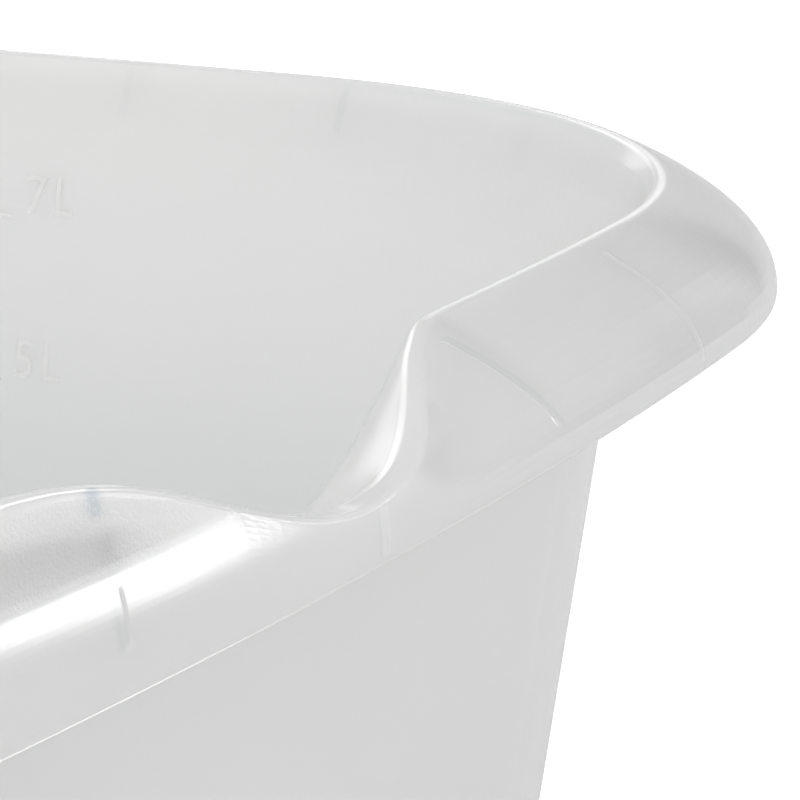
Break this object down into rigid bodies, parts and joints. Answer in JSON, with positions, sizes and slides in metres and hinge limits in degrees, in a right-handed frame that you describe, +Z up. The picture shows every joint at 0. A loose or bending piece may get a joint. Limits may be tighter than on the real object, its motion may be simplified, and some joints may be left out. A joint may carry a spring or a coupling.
{
  "type": "storage bowl",
  "caption": "Open rectangular bowl with round corners, a down-turned ribbed rim and a wave-shaped hand grip in each long side, for holding and mixing food.",
  "frame": {"origin": "on the table under the bowl's middle", "axes": "+X along the length, towards the end with the litre scale; -Y towards the grip nearest the camera; +Z up"},
  "size_m": [0.429, 0.295, 0.1138],
  "materials": {
    "milky_plastic": "glossy, milky translucent polypropylene"
  },
  "bodies": {
    "root": {"bowl_shell": "milky_plastic", "foot_ring": "milky_plastic", "front_grip": "milky_plastic", "front_left_rim": "milky_plastic", "front_left_corner_rim": "milky_plastic", "front_left_rib_1": "milky_plastic", "front_left_rib_2": "milky_plastic", "front_left_rib_3": "milky_plastic", "front_left_rib_4": "milky_plastic", "front_right_rim": "milky_plastic", "front_right_corner_rim": "milky_plastic", "front_right_rib_1": "milky_plastic", "front_right_rib_2": "milky_plastic", "front_right_rib_3": "milky_plastic", "front_right_rib_4": "milky_plastic", "back_grip": "milky_plastic", "back_left_rim": "milky_plastic", "back_left_corner_rim": "milky_plastic", "back_left_rib_1": "milky_plastic", "back_left_rib_2": "milky_plastic", "back_left_rib_3": "milky_plastic", "back_left_rib_4": "milky_plastic", "back_right_rim": "milky_plastic", "back_right_corner_rim": "milky_plastic", "back_right_rib_1": "milky_plastic", "back_right_rib_2": "milky_plastic", "back_right_rib_3": "milky_plastic", "back_right_rib_4": "milky_plastic", "left_rim": "milky_plastic", "left_front_rib_1": "milky_plastic", "left_front_rib_2": "milky_plastic", "left_front_rib_3": "milky_plastic", "left_back_rib_1": "milky_plastic", "left_back_rib_2": "milky_plastic", "left_back_rib_3": "milky_plastic", "right_rim": "milky_plastic", "right_front_rib_1": "milky_plastic", "right_front_rib_2": "milky_plastic", "right_front_rib_3": "milky_plastic", "right_back_rib_1": "milky_plastic", "right_back_rib_2": "milky_plastic", "right_back_rib_3": "milky_plastic"}
  },
  "joints": []
}
